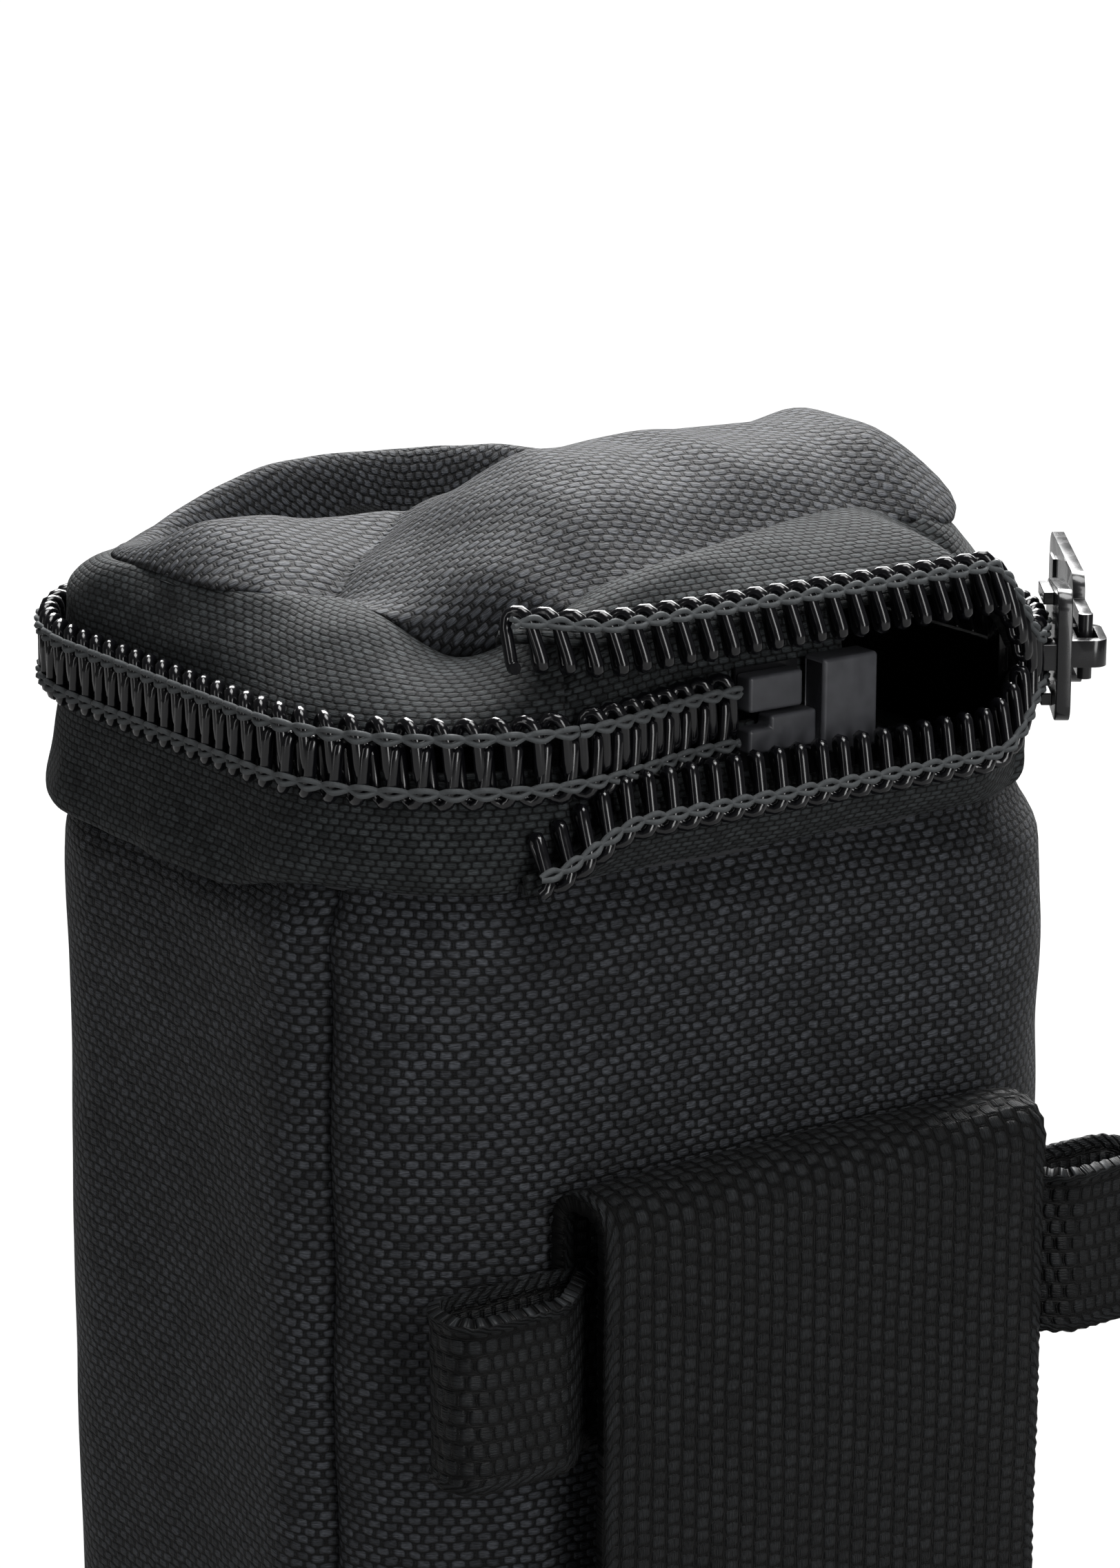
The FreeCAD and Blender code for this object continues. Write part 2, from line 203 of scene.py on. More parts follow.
def brickWeave(name, cloth):
    material, shader = newMaterial(name, cloth["color"], cloth["roughness"], **{
        "Sheen Weight": cloth["sheen"], "Sheen Roughness": 0.45, "Specular IOR Level": cloth["specular"]})
    tree = material.node_tree
    make, calc = nodeMaker(tree), sumMaker(tree)
    uv = make("ShaderNodeUVMap", uv_map="cloth")
    # the yarns wander a little
    wander = make("ShaderNodeTexNoise", {"Vector": uv.outputs[0], "Scale": 0.35, "Detail": 2.0})
    drift = calc("MULTIPLY", calc("SUBTRACT", wander.outputs["Fac"], 0.5), cloth["wander"])
    split = make("ShaderNodeSeparateXYZ", {0: uv.outputs[0]})
    u = calc("DIVIDE", calc("ADD", split.outputs[0], drift), cloth["brickLength"])
    v = calc("DIVIDE", calc("ADD", split.outputs[1], drift), cloth["rowHeight"])
    row = calc("FLOOR", v)
    shifted = calc("ADD", u, calc("MULTIPLY", row, cloth["stagger"]))
    column = calc("FLOOR", shifted)
    fu = calc("ABSOLUTE", calc("SUBTRACT", calc("MULTIPLY", calc("FRACT", shifted), 2.0), 1.0))
    fv = calc("ABSOLUTE", calc("SUBTRACT", calc("MULTIPLY", calc("FRACT", v), 2.0), 1.0))
    endDrop = calc("POWER", calc("DIVIDE", fu, cloth["floatLength"]), 4.5)
    sideDrop = calc("POWER", calc("DIVIDE", fv, cloth["floatHeight"]), 3.0)
    dome = calc("MAXIMUM", calc("SUBTRACT", calc("SUBTRACT", 1.0, endDrop), sideDrop), 0.0)
    # the crossing yarns show in the gaps, lower down
    cross = calc("SUBTRACT", calc("MULTIPLY", calc("SUBTRACT", fu, 0.75), 0.9), calc("MULTIPLY", fv, 0.3))
    height = calc("MAXIMUM", calc("SQRT", dome), cross)
    cell = make("ShaderNodeCombineXYZ", {0: column, 1: row})
    tone = make("ShaderNodeTexWhiteNoise", {"Vector": cell.outputs[0]}, noise_dimensions="2D")
    stretch = make("ShaderNodeMapping", {"Vector": uv.outputs[0], "Scale": cloth["fibreScale"]})
    fibres = make("ShaderNodeTexNoise", {"Vector": stretch.outputs[0], "Scale": 1.0, "Detail": 3.0})
    fibreTone = calc("MULTIPLY_ADD", fibres.outputs["Fac"], 3.2, -0.6)
    brickTone = calc("MULTIPLY_ADD", tone.outputs["Value"], 0.8, 0.6)
    # painted shade: the colour darkens toward the gaps between floats, where the weave's recesses fall into
    # shade
    gap = calc("MULTIPLY_ADD", calc("POWER", height, 1.3), 1.0 - cloth["gapShadeTone"], cloth["gapShadeTone"])
    level = calc("MULTIPLY", calc("MULTIPLY", brickTone, fibreTone), gap)
    patches = make("ShaderNodeTexNoise", {"Vector": uv.outputs[0], "Scale": 0.06, "Detail": 3.0})
    level = calc("MULTIPLY", level, calc("MULTIPLY_ADD", patches.outputs["Fac"], 0.6, 0.7))
    # specks of lint, and painted highlights for the odd broken filament that would catch the light
    specks = make("ShaderNodeTexVoronoi", {"Vector": uv.outputs[0], "Scale": cloth["lintAndGlintScale"]})
    lintAndGlintSpots = calc("LESS_THAN", specks.outputs["Distance"], cloth["lintAndGlintSize"])
    lintAndGlint = calc("MULTIPLY", lintAndGlintSpots, calc("GREATER_THAN", specks.outputs["Color"], 0.72))
    level = calc("ADD", level, calc("MULTIPLY", lintAndGlint, 5.0))
    color = make("ShaderNodeVectorMath", {0: cloth["color"], "Scale": level}, operation="SCALE")
    tree.links.new(color.outputs[0], shader.inputs["Base Color"])
    relief = calc("MULTIPLY_ADD", calc("SUBTRACT", fibres.outputs["Fac"], 0.5), 0.7, height)
    bumpNode = make("ShaderNodeBump", {"Strength": cloth["bumpStrength"], "Distance": cloth["bumpDepth"],
                                       "Height": relief})
    tree.links.new(bumpNode.outputs[0], shader.inputs["Normal"])
    rough = calc("MULTIPLY_ADD", fibres.outputs["Fac"], -0.2, cloth["roughness"] + 0.1)
    tree.links.new(rough, shader.inputs["Roughness"])
    return material


packCloth = brickWeave("packCloth", {
    "color": (0.038, 0.041, 0.047), "roughness": 0.6, "sheen": 0.03, "specular": 0.16, "gapShadeTone": 0.06,
    "brickLength": 1.55, "rowHeight": 0.84, "stagger": 0.5, "floatLength": 0.8, "floatHeight": 0.92,
    "wander": 0.8, "fibreScale": (1.6, 8.0, 1.0), "lintAndGlintScale": 0.09, "lintAndGlintSize": 0.02,
    "bumpStrength": 1.0, "bumpDepth": 0.34 * mm})
zipTwill = brickWeave("zipTwill", {
    "color": (0.031, 0.035, 0.037), "roughness": 0.66, "sheen": 0.03, "specular": 0.14, "gapShadeTone": 0.1,
    "brickLength": 1.2, "rowHeight": 0.64, "stagger": 0.38, "floatLength": 0.92, "floatHeight": 0.95,
    "wander": 0.25, "fibreScale": (2.0, 12.0, 1.0), "lintAndGlintScale": 0.07, "lintAndGlintSize": 0.01,
    "bumpStrength": 1.0, "bumpDepth": 0.24 * mm})
webbingRib = brickWeave("webbingRib", {
    "color": (0.017, 0.0185, 0.02), "roughness": 0.42, "sheen": 0.01, "specular": 0.14, "gapShadeTone": 0.03,
    "brickLength": 1.25, "rowHeight": 1.62, "stagger": 0.5, "floatLength": 0.86, "floatHeight": 0.84,
    "wander": 0.3, "fibreScale": (1.0, 8.0, 1.0), "lintAndGlintScale": 0.06, "lintAndGlintSize": 0.02,
    "bumpStrength": 1.0, "bumpDepth": 1.1 * mm})
liningCloth = brickWeave("liningCloth", {
    "color": (0.012, 0.013, 0.014), "roughness": 0.8, "sheen": 0.03, "specular": 0.2, "gapShadeTone": 0.2,
    "brickLength": 0.8, "rowHeight": 0.4, "stagger": 0.5, "floatLength": 0.98, "floatHeight": 1.0,
    "wander": 0.2, "fibreScale": (2.0, 9.0, 1.0), "lintAndGlintScale": 0.05, "lintAndGlintSize": 0.01,
    "bumpStrength": 0.6, "bumpDepth": 0.1 * mm})


def grained(name, color, roughness, scale, depth, **sockets):
    material, shader = newMaterial(name, color, roughness, **sockets)
    tree = material.node_tree
    make, calc = nodeMaker(tree), sumMaker(tree)
    place = make("ShaderNodeTexCoord").outputs["Object"]
    grain = make("ShaderNodeTexNoise", {"Vector": place, "Scale": scale, "Detail": 4.0})
    level = calc("MULTIPLY_ADD", grain.outputs["Fac"], 0.8, 0.6)
    tint = make("ShaderNodeVectorMath", {0: color, "Scale": level}, operation="SCALE")
    tree.links.new(tint.outputs[0], shader.inputs["Base Color"])
    rough = calc("MULTIPLY_ADD", grain.outputs["Fac"], 0.25, roughness - 0.12)
    tree.links.new(rough, shader.inputs["Roughness"])
    bumpNode = make("ShaderNodeBump", {"Strength": 0.5, "Distance": depth, "Height": grain.outputs["Fac"]})
    tree.links.new(bumpNode.outputs[0], shader.inputs["Normal"])
    return material


coilGloss = grained("coilGloss", (0.003, 0.003, 0.004), 0.17, 900, 0.01 * mm, **{"Specular IOR Level": 0.6})
stitchThread = grained("stitchThread", (0.05, 0.055, 0.058), 0.75, 2600, 0.12 * mm, **{"Sheen Weight": 0.05})
mouldedGrey = grained("mouldedGrey", (0.045, 0.046, 0.052), 0.42, 700, 0.03 * mm)
blackEnamel = grained("blackEnamel", (0.006, 0.006, 0.007), 0.26, 500, 0.02 * mm, **{"Coat Weight": 0.3})
tapeFilm = grained("tapeFilm", (0.008, 0.008, 0.009), 0.22, 300, 0.05 * mm)
springSteel = grained("springSteel", (0.3, 0.3, 0.32), 0.35, 900, 0.01 * mm, Metallic=1.0)
bindingWeave = grained("bindingWeave", (0.03, 0.031, 0.034), 0.8, 2200, 0.15 * mm)
print("materials made")

# the zip: its path round the mouth, and how each half leans where it is open
zipRing = {
    "radius": 19.0 * mm, "tapeThick": 0.6 * mm, "outerLap": 1.2 * mm, "innerLap": 3.5 * mm,
    "openEndX": -27.0 * mm, "startRunX": -4.0 * mm, "coilStartX": -1.2 * mm, "tapeStartX": 12.6 * mm,
    "mouthAngle": -52.5, "openRise": 8.0 * mm, "openDrop": 4.4 * mm, "openingTurn": 30.0, "step": 0.9 * mm,
}
# in the open stretch each half leans over, and its tail end moves further from the other half
lowerLean = {"lean": 16.0, "tail": 11.0 * mm, "tailLean": 18.0, "tailDrop": 4.6 * mm, "tailIn": 0.6 * mm}
upperLean = {"lean": 24.0, "tail": 9.0 * mm, "tailRise": 0.8 * mm, "tailIn": 3.2 * mm}
ringHalfX = tapeHigh[0] - zipRing["tapeThick"] / 2
ringHalfY = tapeHigh[1] - zipRing["tapeThick"] / 2


def arcRun(centre, radius, first, last, step):
    steps = max(2, round(radius * math.radians(abs(last - first)) / step))
    found = []
    for i in range(steps):
        angle = math.radians(mix(first, last, i / steps))
        out = Vector((math.cos(angle), math.sin(angle), 0))
        found.append((Vector((*centre, 0)) + out * radius, out))
    return found


def lineRun(start, end, out, step):
    start, end = Vector((*start, 0)), Vector((*end, 0))
    steps = max(1, round((end - start).length / step))
    return [(start.lerp(end, i / steps), Vector((*out, 0))) for i in range(steps)]


def zipPath():
    r, step = zipRing["radius"], zipRing["step"]
    cx, cy = ringHalfX - r, ringHalfY - r
    lap = zipRing["outerLap"]
    mouth = zipRing["mouthAngle"]
    stations = []

    def put(run, part):
        for place, out in run:
            stations.append({"place": place, "out": out, "part": part})

    put(lineRun((zipRing["openEndX"], -ringHalfY - lap), (cx, -ringHalfY - lap), (0, -1), step), "open")
    corner = arcRun((cx, -cy), r, -90, mouth, step)
    for i, (place, out) in enumerate(corner):
        fading = lap * (1 - smooth(i / len(corner)))
        stations.append({"place": place + out * fading, "out": out, "part": "open"})
    put(arcRun((cx, -cy), r, mouth, 0, step), "ring")
    put(lineRun((ringHalfX, -cy), (ringHalfX, cy), (1, 0), step), "ring")
    put(arcRun((cx, cy), r, 0, 90, step), "ring")
    put(lineRun((cx, ringHalfY), (-cx, ringHalfY), (0, 1), step), "ring")
    put(arcRun((-cx, cy), r, 90, 180, step), "ring")
    put(lineRun((-ringHalfX, cy), (-ringHalfX, -cy), (-1, 0), step), "ring")
    put(arcRun((-cx, -cy), r, 180, 270, step), "ring")
    for place, out in lineRun((-cx, -ringHalfY), (zipRing["tapeStartX"], -ringHalfY), (0, -1), step):
        inward = smooth((place.x + cx) / (zipRing["startRunX"] + cx)) * zipRing["innerLap"]
        stations.append({"place": place + Vector((0, inward, 0)), "out": out, "part": "start"})
    travelled = 0.0
    for i, station in enumerate(stations):
        if i:
            travelled += (station["place"] - stations[i - 1]["place"]).length
        station["along"] = travelled
        facing = math.degrees(math.atan2(station["out"].y, station["out"].x))
        opening = smooth((mouth - facing) / zipRing["openingTurn"])
        station["open"] = opening if station["part"] == "open" else 0.0
    return stations


path = zipPath()


def openEnd(station, reach):
    return 1 - smooth(station["along"] / reach) if station["part"] == "open" else 0.0


def lowerHalf(station):
    opened = station["open"]
    tail = openEnd(station, lowerLean["tail"])
    lean = math.radians(lowerLean["lean"]) * opened + math.radians(lowerLean["tailLean"]) * tail
    down = Vector((0, 0, -1)) * math.cos(lean) + station["out"] * math.sin(lean)
    out = station["out"] * math.cos(lean) + Vector((0, 0, 1)) * math.sin(lean)
    z = chainZ - zipRing["openDrop"] * opened - lowerLean["tailDrop"] * tail
    origin = station["place"] + Vector((0, 0, z))
    origin -= station["out"] * lowerLean["tailIn"] * tail
    return origin, down, out


def upperHalf(station):
    opened = station["open"]
    tail = openEnd(station, upperLean["tail"])
    lean = math.radians(upperLean["lean"]) * opened
    up = Vector((0, 0, 1)) * math.cos(lean) - station["out"] * math.sin(lean)
    out = station["out"] * math.cos(lean) + Vector((0, 0, 1)) * math.sin(lean)
    z = chainZ + zipRing["openRise"] * opened + upperLean["tailRise"] * tail
    origin = station["place"] + Vector((0, 0, z))
    origin -= station["out"] * upperLean["tailIn"] * tail
    return origin, up, out


def windTree():
    tree = bpy.data.node_groups.new("windAlongTape", "GeometryNodeTree")
    sockets = tree.interface
    sockets.new_socket("Geometry", in_out="INPUT", socket_type="NodeSocketGeometry")
    names = ("Pitch", "Points Per Turn", "Phase", "Across Middle", "Across Reach", "Out Middle", "Out Reach",
             "Out Turns", "Out Phase", "Squareness", "Along Reach", "Wire Radius", "Wire Sides")
    for name in names:
        sockets.new_socket(name, in_out="INPUT", socket_type="NodeSocketFloat")
    sockets.new_socket("Material", in_out="INPUT", socket_type="NodeSocketMaterial")
    sockets.new_socket("Geometry", in_out="OUTPUT", socket_type="NodeSocketGeometry")
    make, calc = nodeMaker(tree), sumMaker(tree)
    vector = sumMaker(tree, "ShaderNodeVectorMath")
    given = make("NodeGroupInput").outputs
    curve = make("GeometryNodeMeshToCurve", {0: given["Geometry"]}).outputs[0]
    spacing = calc("DIVIDE", given["Pitch"], given["Points Per Turn"])
    fine = make("GeometryNodeResampleCurve", {"Curve": curve, "Length": spacing}, mode="LENGTH").outputs[0]
    travelled = make("GeometryNodeSplineParameter").outputs["Length"]
    turned = calc("ADD", calc("DIVIDE", travelled, given["Pitch"]), given["Phase"])
    angle = calc("MULTIPLY", turned, 2 * math.pi)
    wave = calc("COSINE", angle)
    lift = calc("SINE", calc("MULTIPLY_ADD", angle, given["Out Turns"], given["Out Phase"]))

    def squared(value):
        size = calc("POWER", calc("ABSOLUTE", value), given["Squareness"])
        return calc("MULTIPLY", calc("SIGN", value), size)

    def named(name):
        return make("GeometryNodeInputNamedAttribute", {"Name": name}, data_type="FLOAT_VECTOR").outputs[0]

    def scaled(direction, amount):
        node = make("ShaderNodeVectorMath", {0: direction, "Scale": amount}, operation="SCALE")
        return node.outputs[0]

    across = calc("MULTIPLY_ADD", squared(wave), given["Across Reach"], given["Across Middle"])
    outwards = calc("MULTIPLY_ADD", squared(lift), given["Out Reach"], given["Out Middle"])
    shift = vector("ADD", scaled(named("across"), across), scaled(named("out"), outwards))
    tangent = make("GeometryNodeInputTangent").outputs[0]
    along = calc("MULTIPLY", calc("SINE", angle), given["Along Reach"])
    shift = vector("ADD", shift, scaled(tangent, along))
    bent = make("GeometryNodeSetPosition", {"Geometry": fine, "Offset": shift}).outputs[0]
    circle = make("GeometryNodeCurvePrimitiveCircle", {"Resolution": given["Wire Sides"],
                                                       "Radius": given["Wire Radius"]}).outputs[0]
    swept = {"Curve": bent, "Profile Curve": circle, "Fill Caps": True}
    wire = make("GeometryNodeCurveToMesh", swept).outputs[0]
    soft = make("GeometryNodeSetShadeSmooth", {0: wire}).outputs[0]
    real = make("GeometryNodeRealizeInstances", {0: soft}).outputs[0]
    done = make("GeometryNodeSetMaterial", {"Geometry": real, "Material": given["Material"]}).outputs[0]
    make("NodeGroupOutput", {0: done})
    return tree


# wire and thread are wound along the path by one tree
windingTree = windTree()
coilWire = {
    "Pitch": 2.4 * mm, "Points Per Turn": 14, "Phase": 0.0, "Across Middle": 1.1 * mm,
    "Across Reach": 2.5 * mm, "Out Middle": 1.5 * mm, "Out Reach": 0.56 * mm, "Out Turns": 1.0,
    "Out Phase": 0.0, "Squareness": 0.5, "Along Reach": 0.38 * mm, "Wire Radius": 0.57 * mm, "Wire Sides": 9,
}
frontLeg = 0.41  # where in its turn a loop's front leg lies
# two threads cross between the loops and spread over each one
lockstitch = {
    "Pitch": 4.8 * mm, "Points Per Turn": 20, "Phase": 0.0, "Across Middle": 2.4 * mm,
    "Across Reach": 0.38 * mm, "Out Middle": 2.44 * mm, "Out Reach": 0.24 * mm, "Out Turns": 2.0,
    "Out Phase": math.pi / 2, "Squareness": 1.0, "Along Reach": 0.0, "Wire Radius": 0.27 * mm,
    "Wire Sides": 6,
}


def wound(name, frames, settings, material, **changes):
    mesh = bpy.data.meshes.new(name)
    mesh.from_pydata([origin for origin, _, _ in frames], [(i, i + 1) for i in range(len(frames) - 1)], [])
    for key, index in (("across", 1), ("out", 2)):
        values = [number for station in frames for number in station[index]]
        mesh.attributes.new(key, "FLOAT_VECTOR", "POINT").data.foreach_set("vector", values)
    piece = bpy.data.objects.new(name, mesh)
    bpy.context.scene.collection.objects.link(piece)
    modifier = piece.modifiers.new("winding", "NODES")
    modifier.node_group = windingTree
    values = {**settings, "Material": material, **changes}
    for item in windingTree.interface.items_tree:
        if item.in_out == "INPUT" and item.name in values:
            modifier[item.identifier] = values[item.name]
    return applied(piece)


def makeCoil(name, stations, half, phase, body, replaced):
    frames = [half(station) for station in stations]
    startTurn = stations[0]["along"] / coilWire["Pitch"] + phase
    coil = wound(name, frames, coilWire, coilGloss, Phase=startTurn)
    finish(coil, coilGloss, body, replaced)
    threads = []
    for turn in (0.0, 0.5):
        phase = (startTurn - frontLeg) / 2 + turn
        threads.append(wound(name + "Stitch", frames, lockstitch, stitchThread, Phase=phase))
    joinAll(threads)
    threads[0].name = name + "Lockstitch"
    finish(threads[0], stitchThread, body)
    return coil


def joinAll(pieces):
    with bpy.context.temp_override(active_object=pieces[0], selected_editable_objects=pieces):
        bpy.ops.object.join()
    return pieces[0]


openAndRing = [s for s in path if s["part"] != "start"]
startFrom = len(openAndRing) - 1
startCoil = [s for s in path[startFrom:] if s["place"].x < zipRing["coilStartX"]]
makeCoil("lowerCoil", openAndRing + startCoil[1:], lowerHalf, 0.0, "pouch_body", ["lower_coil"])
makeCoil("upperCoil", openAndRing, upperHalf, 0.5, "lid", ["upper_coil_open_end", "upper_coil_closed_run"])
makeCoil("startCoil", startCoil, upperHalf, 0.5, "pouch_body", ["upper_coil_start"])
print("coil wound")

# padded walls of the pouch
wall = {
    "radius": 20.0 * mm, "padThick": 4.7 * mm, "bottomZ": 1.0 * mm, "rowStep": 1.1 * mm,
    "columnStep": 1.1 * mm, "topPinch": 2.6 * mm, "topRoll": 6.5 * mm, "bottomPinch": 1.6 * mm,
    "bottomRoll": 6.0 * mm, "belly": 0.6 * mm, "slackSide": 1.9 * mm, "seamDepth": 2.2 * mm,
    "seamWidth": 2.1 * mm, "pucker": 0.35 * mm, "puckerSize": 9.0 * mm, "puckerFromRim": 11.0 * mm,
    "puckerFromSeam": 7.0 * mm, "swell": 0.5 * mm, "swellSize": 30.0 * mm, "rimLift": 0.3 * mm,
    "slackFrom": (-8.0 * mm, -22.0 * mm), "slackFade": (22.0 * mm, 24.0 * mm),
}


def wallRuns(step):
    r = wall["radius"]
    cx, cy = bodyHalfX - r, bodyHalfY - r
    seam = math.degrees(math.asin((-seamY - cy) / r))

    def closeRun(run, angle, side):
        out = Vector((math.cos(math.radians(angle)), math.sin(math.radians(angle)), 0))
        return run + [(Vector((side * cx, -cy, 0)) + out * r, out)]

    belt = arcRun((-cx, -cy), r, 180 + seam, 270, step)
    belt += lineRun((-cx, -bodyHalfY), (cx, -bodyHalfY), (0, -1), step)
    belt += arcRun((cx, -cy), r, -90, -seam, step)
    wrap = arcRun((cx, -cy), r, -seam, 0, step)
    wrap += lineRun((bodyHalfX, -cy), (bodyHalfX, cy), (1, 0), step)
    wrap += arcRun((cx, cy), r, 0, 90, step)
    wrap += lineRun((cx, bodyHalfY), (-cx, bodyHalfY), (0, 1), step)
    wrap += arcRun((-cx, cy), r, 90, 180, step)
    wrap += lineRun((-bodyHalfX, cy), (-bodyHalfX, -cy), (-1, 0), step)
    wrap += arcRun((-cx, -cy), r, 180, 180 + seam, step)
    return closeRun(belt, -seam, 1), closeRun(wrap, 180 + seam, -1)


def wallOffset(z, fromSeam, place):
    top = 1 - smooth((wallTop - z) / wall["topRoll"])
    low = 1 - smooth((z - wall["bottomZ"]) / wall["bottomRoll"])
    offset = -wall["topPinch"] * top ** 1.4 - wall["bottomPinch"] * low ** 1.6
    offset += wall["belly"] * math.sin(math.pi * min(1.0, max(0.0, z / wallTop)))
    (slackX, slackY), (fadeX, fadeY) = wall["slackFrom"], wall["slackFade"]
    leftBack = smooth((slackX - place.x) / fadeX) * smooth((place.y - slackY) / fadeY)
    offset -= wall["slackSide"] * leftBack
    offset -= wall["seamDepth"] * math.exp(-abs(fromSeam) / wall["seamWidth"])
    spot = Vector((place.x, place.y, z))
    nearSeam = bump(wallTop - z, wall["puckerFromRim"]) + 0.8 * bump(fromSeam, wall["puckerFromSeam"])
    offset += wall["pucker"] * wrinkle(spot, wall["puckerSize"], 3.1) * (0.5 + 1.6 * nearSeam)
    offset += wall["swell"] * wrinkle(spot, wall["swellSize"], 7.7)
    return offset


def wallPanel(name, run, replaced):
    steps = round((wallTop - wall["bottomZ"]) / wall["rowStep"])
    lengths = [0.0]
    for (a, _), (b, _) in zip(run, run[1:]):
        lengths.append(lengths[-1] + (b - a).length)
    rows = []
    for j in range(steps + 1):
        z = mix(wall["bottomZ"], wallTop + wall["rimLift"], j / steps)
        row = []
        for (place, out), length in zip(run, lengths):
            fromSeam = min(length, lengths[-1] - length)
            row.append(place + out * wallOffset(z, fromSeam, place) + Vector((0, 0, z)))
        rows.append(row)
    piece = thicken(sheetObject(name, rows), wall["padThick"])
    finish(piece, packCloth, "pouch_body", replaced)
    return piece


beltRun, wrapRun = wallRuns(wall["columnStep"])
wallPanel("beltPanelPadded", beltRun,
          ["belt_panel", "belt_foam", "seam_allowance_left", "seam_allowance_right"])
wallPanel("wrapPanelPadded", wrapRun, ["wrap_panel", "wrap_foam"])

# lining inside, base pad and the bound seam at the rim
lining = {"inset": 5.6 * mm, "lowZ": 5.0 * mm, "highZ": 109.6 * mm, "thick": 0.5 * mm, "slack": 0.5 * mm,
          "rows": 48, "columnStep": 2.2 * mm}


def loopAt(inset, z, step, slack=0.0):
    belt, wrap = wallRuns(step)
    row = []
    for place, out in belt[:-1] + wrap[:-1]:
        spot = place - out * inset + Vector((0, 0, z))
        row.append(spot + out * slack * wrinkle(spot, 14 * mm, 5.0))
    return row


liningRows = []
for j in range(lining["rows"]):
    z = mix(lining["lowZ"], lining["highZ"], j / (lining["rows"] - 1))
    liningRows.append(loopAt(lining["inset"], z, lining["columnStep"], lining["slack"]))
liningWall = thicken(sheetObject("liningWall", liningRows, closed=True), lining["thick"])
finish(liningWall, liningCloth, "pouch_body", ["body_lining"])


def domedPad(name, inset, profile, ringStep, material, replaced, seed, flip=False):
    rows = []
    for shrink, z in profile:
        row = []
        for spot in loopAt(inset, 0.0, ringStep):
            point = Vector((spot.x * shrink, spot.y * shrink, z))
            point.z += 0.25 * mm * wrinkle(point, 12 * mm, seed) * min(1.0, 3 * (1 - shrink))
            row.append(point)
        rows.append(row)
    piece = sheetObject(name, rows, closed=True, flip=flip)
    closedMesh = bpy.data.meshes.new(name)
    shell = bmesh.new()
    shell.from_mesh(piece.data)
    bmesh.ops.holes_fill(shell, edges=[e for e in shell.edges if e.is_boundary])
    bmesh.ops.recalc_face_normals(shell, faces=shell.faces)
    shell.to_mesh(closedMesh)
    shell.free()
    for polygon in closedMesh.polygons:
        polygon.use_smooth = True
    piece.data = closedMesh
    return finish(piece, material, "pouch_body", replaced)


basePadProfile = [(0.02, 0.5 * mm), (0.2, 0.45 * mm), (0.45, 0.35 * mm), (0.65, 0.2 * mm), (0.8, 0.05 * mm),
                  (0.9, 0.0), (0.95, 0.05 * mm), (0.975, 0.35 * mm), (0.99, 0.9 * mm), (1.0, 1.6 * mm),
                  (0.985, 2.4 * mm), (0.93, 2.6 * mm), (0.5, 2.6 * mm), (0.02, 2.6 * mm)]
basePad = domedPad("basePadOuter", 1.0 * mm, basePadProfile, 2.0 * mm, packCloth,
                   ["base_panel"], 2.0)
innerBaseProfile = [(0.02, 3.2 * mm), (0.5, 3.2 * mm), (0.96, 3.3 * mm), (0.995, 4.2 * mm), (1.0, 5.4 * mm),
                    (0.985, 6.4 * mm), (0.95, 7.0 * mm), (0.8, 7.4 * mm), (0.5, 7.2 * mm), (0.02, 7.0 * mm)]
innerBase = domedPad("basePadInner", 5.9 * mm, innerBaseProfile, 2.0 * mm, liningCloth,
                     ["base_foam", "base_lining", "base_board"], 4.0)

binding = {"inset": 3.9 * mm, "halfWidth": 1.5 * mm, "halfHeight": 0.75 * mm, "drop": 0.1 * mm,
           "sides": 10, "step": 1.4 * mm}
bindingRows = []
for k in range(binding["sides"] + 1):
    angle = 2 * math.pi * k / binding["sides"]
    z = wallTop - binding["drop"] + binding["halfHeight"] * math.sin(angle)
    bindingRows.append(loopAt(binding["inset"] - binding["halfWidth"] * math.cos(angle), z, binding["step"]))
rimBinding = sheetObject("rimBindingRoll", bindingRows, closed=True)
finish(rimBinding, bindingWeave, "pouch_body", ["rim_binding"])
print("pouch walls, base and lining made")

# zip tape, lower and upper
tape = {
    "thick": 0.7 * mm, "underCoil": 1.2 * mm, "shoulder": 4.6 * mm, "seamInset": 2.5 * mm,
    "bulge": 3.0 * mm, "sideBulge": 3.4 * mm, "sag": 9.0 * mm, "rows": 22, "upperRows": 26,
    "wrinkleSize": 6.0 * mm, "wrinkleDepth": 0.6 * mm, "broadFold": 0.95 * mm, "broadSize": 15.0 * mm,
    "startInset": 2.2 * mm, "sagFrom": -25.0 * mm, "sagFade": 16.0 * mm, "easeFrom": -21.0 * mm,
    "underLid": 0.8 * mm, "lidInset": 0.6 * mm, "lidBulge": 0.8 * mm, "lidBulgeShare": 0.16,
    "lidLift": 1.6 * mm, "openBulge": 2.0 * mm, "openLift": 0.6 * mm, "hiddenInset": 2.6 * mm,
    "hiddenZ": 133.0 * mm, "startDrop": 2.5 * mm,
}


def onLoop(point, halfX, halfY, radius):
    core = Vector((max(radius - halfX, min(halfX - radius, point.x)),
                   max(radius - halfY, min(halfY - radius, point.y)), 0))
    out = Vector((point.x - core.x, point.y - core.y, 0)).normalized()
    return core + out * radius, out


def bezier(a, b, c, d, t):
    return a * (1 - t) ** 3 + b * 3 * t * (1 - t) ** 2 + c * 3 * t * t * (1 - t) + d * t ** 3


